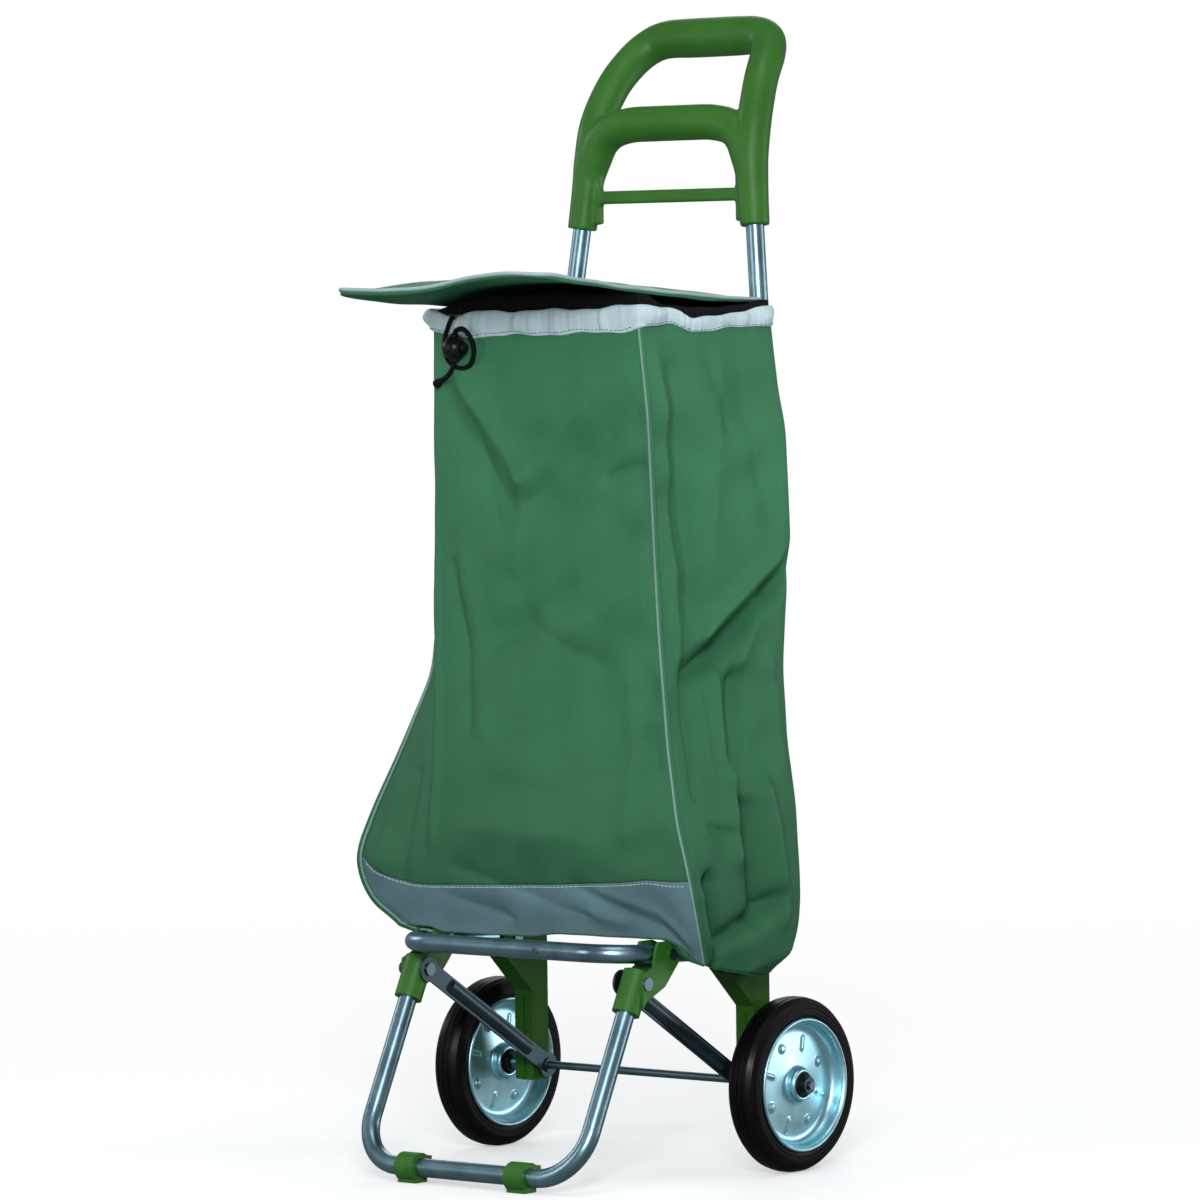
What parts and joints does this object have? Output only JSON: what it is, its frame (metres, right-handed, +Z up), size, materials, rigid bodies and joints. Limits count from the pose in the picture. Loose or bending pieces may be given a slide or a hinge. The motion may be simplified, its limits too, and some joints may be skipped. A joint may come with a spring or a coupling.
{
  "type": "shopping trolley",
  "caption": "Folding two-wheeled shopping trolley with a tall fabric bag, drawstring mouth, flap lid, tubular steel frame, folding platform and foot, and a moulded loop handle.",
  "frame": {"origin": "on the floor, under the middle of the trolley's outline", "axes": "+Z up, -Y towards the front, where the platform and the foot stand out; X along the wheels' axle, +X on the right wheel's side"},
  "size_m": [0.376, 0.3719, 0.9859],
  "materials": {
    "green_plastic": "satin moulded polypropylene",
    "tube_steel": "bright zinc-plated tube",
    "bright_steel": "zinc-plated rivets and pins",
    "zinc_steel": "blue zinc-plated pressed sheet",
    "tyre_rubber": "smooth black rubber",
    "black_plastic": "moulded nylon",
    "green_fabric": "plain-weave coated polyester",
    "grey_fabric": "coarse plain-weave polyester",
    "trim_fabric": "smooth woven tape",
    "black_fabric": "soft woven lining",
    "black_cord": "braided polyester cord"
  },
  "bodies": {
    "frame": {"handle_grip": "green_plastic", "handle_screws": "bright_steel", "upright_left": "tube_steel", "upright_right": "tube_steel", "axle_bracket_left": "green_plastic", "axle_bracket_right": "green_plastic", "bracket_rivets": "bright_steel", "platform_pivot_pins": "bright_steel", "axle_rod": "bright_steel", "axle_spacers": "bright_steel", "axle_clips": "bright_steel", "bag_front_panel": "green_fabric", "bag_lower_panel": "grey_fabric", "bag_side_left": "green_fabric", "bag_side_right": "green_fabric", "bag_back_panel": "green_fabric", "bag_base_panel": "green_fabric", "bag_piping_left": "trim_fabric", "bag_piping_right": "trim_fabric", "bag_hem": "trim_fabric", "bag_collar": "black_fabric", "bag_tube_loops": "green_fabric", "drawstring_cord": "black_cord", "cord_lock_body": "black_plastic", "cord_lock_spring": "bright_steel"},
    "platform": {"platform_tube": "tube_steel", "platform_bar_rivet": "bright_steel", "foot_pivot_pins": "bright_steel"},
    "foot": {"foot_tube": "tube_steel", "foot_joint_left": "green_plastic", "foot_joint_right": "green_plastic", "foot_joint_pins": "bright_steel", "foot_clip_left": "green_plastic", "foot_clip_right": "green_plastic"},
    "strut_left": {"strut_left": "tube_steel", "strut_rivet_left": "bright_steel"},
    "strut_right": {"strut_right": "tube_steel", "strut_rivet_right": "bright_steel"},
    "wheel_left": {"tyre_left": "tyre_rubber", "rim_outer_left": "zinc_steel", "rim_inner_left": "zinc_steel", "hub_tube_left": "zinc_steel", "hub_bush_left": "black_plastic", "rim_rivets_left": "zinc_steel"},
    "wheel_right": {"tyre_right": "tyre_rubber", "rim_outer_right": "zinc_steel", "rim_inner_right": "zinc_steel", "hub_tube_right": "zinc_steel", "hub_bush_right": "black_plastic", "rim_rivets_right": "zinc_steel"},
    "lid": {"lid_panel": "green_fabric", "lid_binding": "trim_fabric"},
    "lock_button": {"cord_lock_button": "black_plastic"}
  },
  "joints": [
    {"name": "platform_fold", "type": "hinge", "parent": "frame", "child": "platform", "pos_m": [0, 0.037, 0.19], "axis": [-1, 0, 0], "range_deg": [0, 80], "deforming": ["bag_front_panel", "bag_lower_panel", "bag_side_left", "bag_side_right", "bag_back_panel", "bag_base_panel", "bag_piping_left", "bag_piping_right"]},
    {"name": "foot_fold", "type": "hinge", "parent": "platform", "child": "foot", "pos_m": [0, -0.0546, 0.19489], "axis": [1, 0, 0], "range_deg": [0, 102.5]},
    {"name": "strut_left_swing", "type": "hinge", "parent": "frame", "child": "strut_left", "pos_m": [-0.108, 0.067, 0.075], "axis": [-1, 0, 0], "range_deg": [0, 37.8]},
    {"name": "strut_right_swing", "type": "hinge", "parent": "frame", "child": "strut_right", "pos_m": [0.108, 0.067, 0.075], "axis": [-1, 0, 0], "range_deg": [0, 37.8]},
    {"name": "wheel_left_spin", "type": "hinge", "parent": "frame", "child": "wheel_left", "pos_m": [-0.1655, 0.067, 0.075], "axis": [1, 0, 0], "continuous": true},
    {"name": "wheel_right_spin", "type": "hinge", "parent": "frame", "child": "wheel_right", "pos_m": [0.1655, 0.067, 0.075], "axis": [1, 0, 0], "continuous": true},
    {"name": "lid_open", "type": "hinge", "parent": "frame", "child": "lid", "pos_m": [0, 0.1, 0.7505], "axis": [-1, 0, 0], "range_deg": [0, 85]},
    {"name": "lock_press", "type": "slide", "parent": "frame", "child": "lock_button", "axis": [-1, 0, 0], "range_m": [0, 0.002], "stiffness_N_per_m": 300, "springref_m": -0.004, "deforming": ["cord_lock_spring"]}
  ],
  "couplings": [
    {"joint": "foot_fold", "follows": "platform_fold", "ratio": 1.2793},
    {"joint": "strut_left_swing", "follows": "platform_fold", "ratio": 0.4706},
    {"joint": "strut_right_swing", "follows": "platform_fold", "ratio": 0.4706}
  ]
}
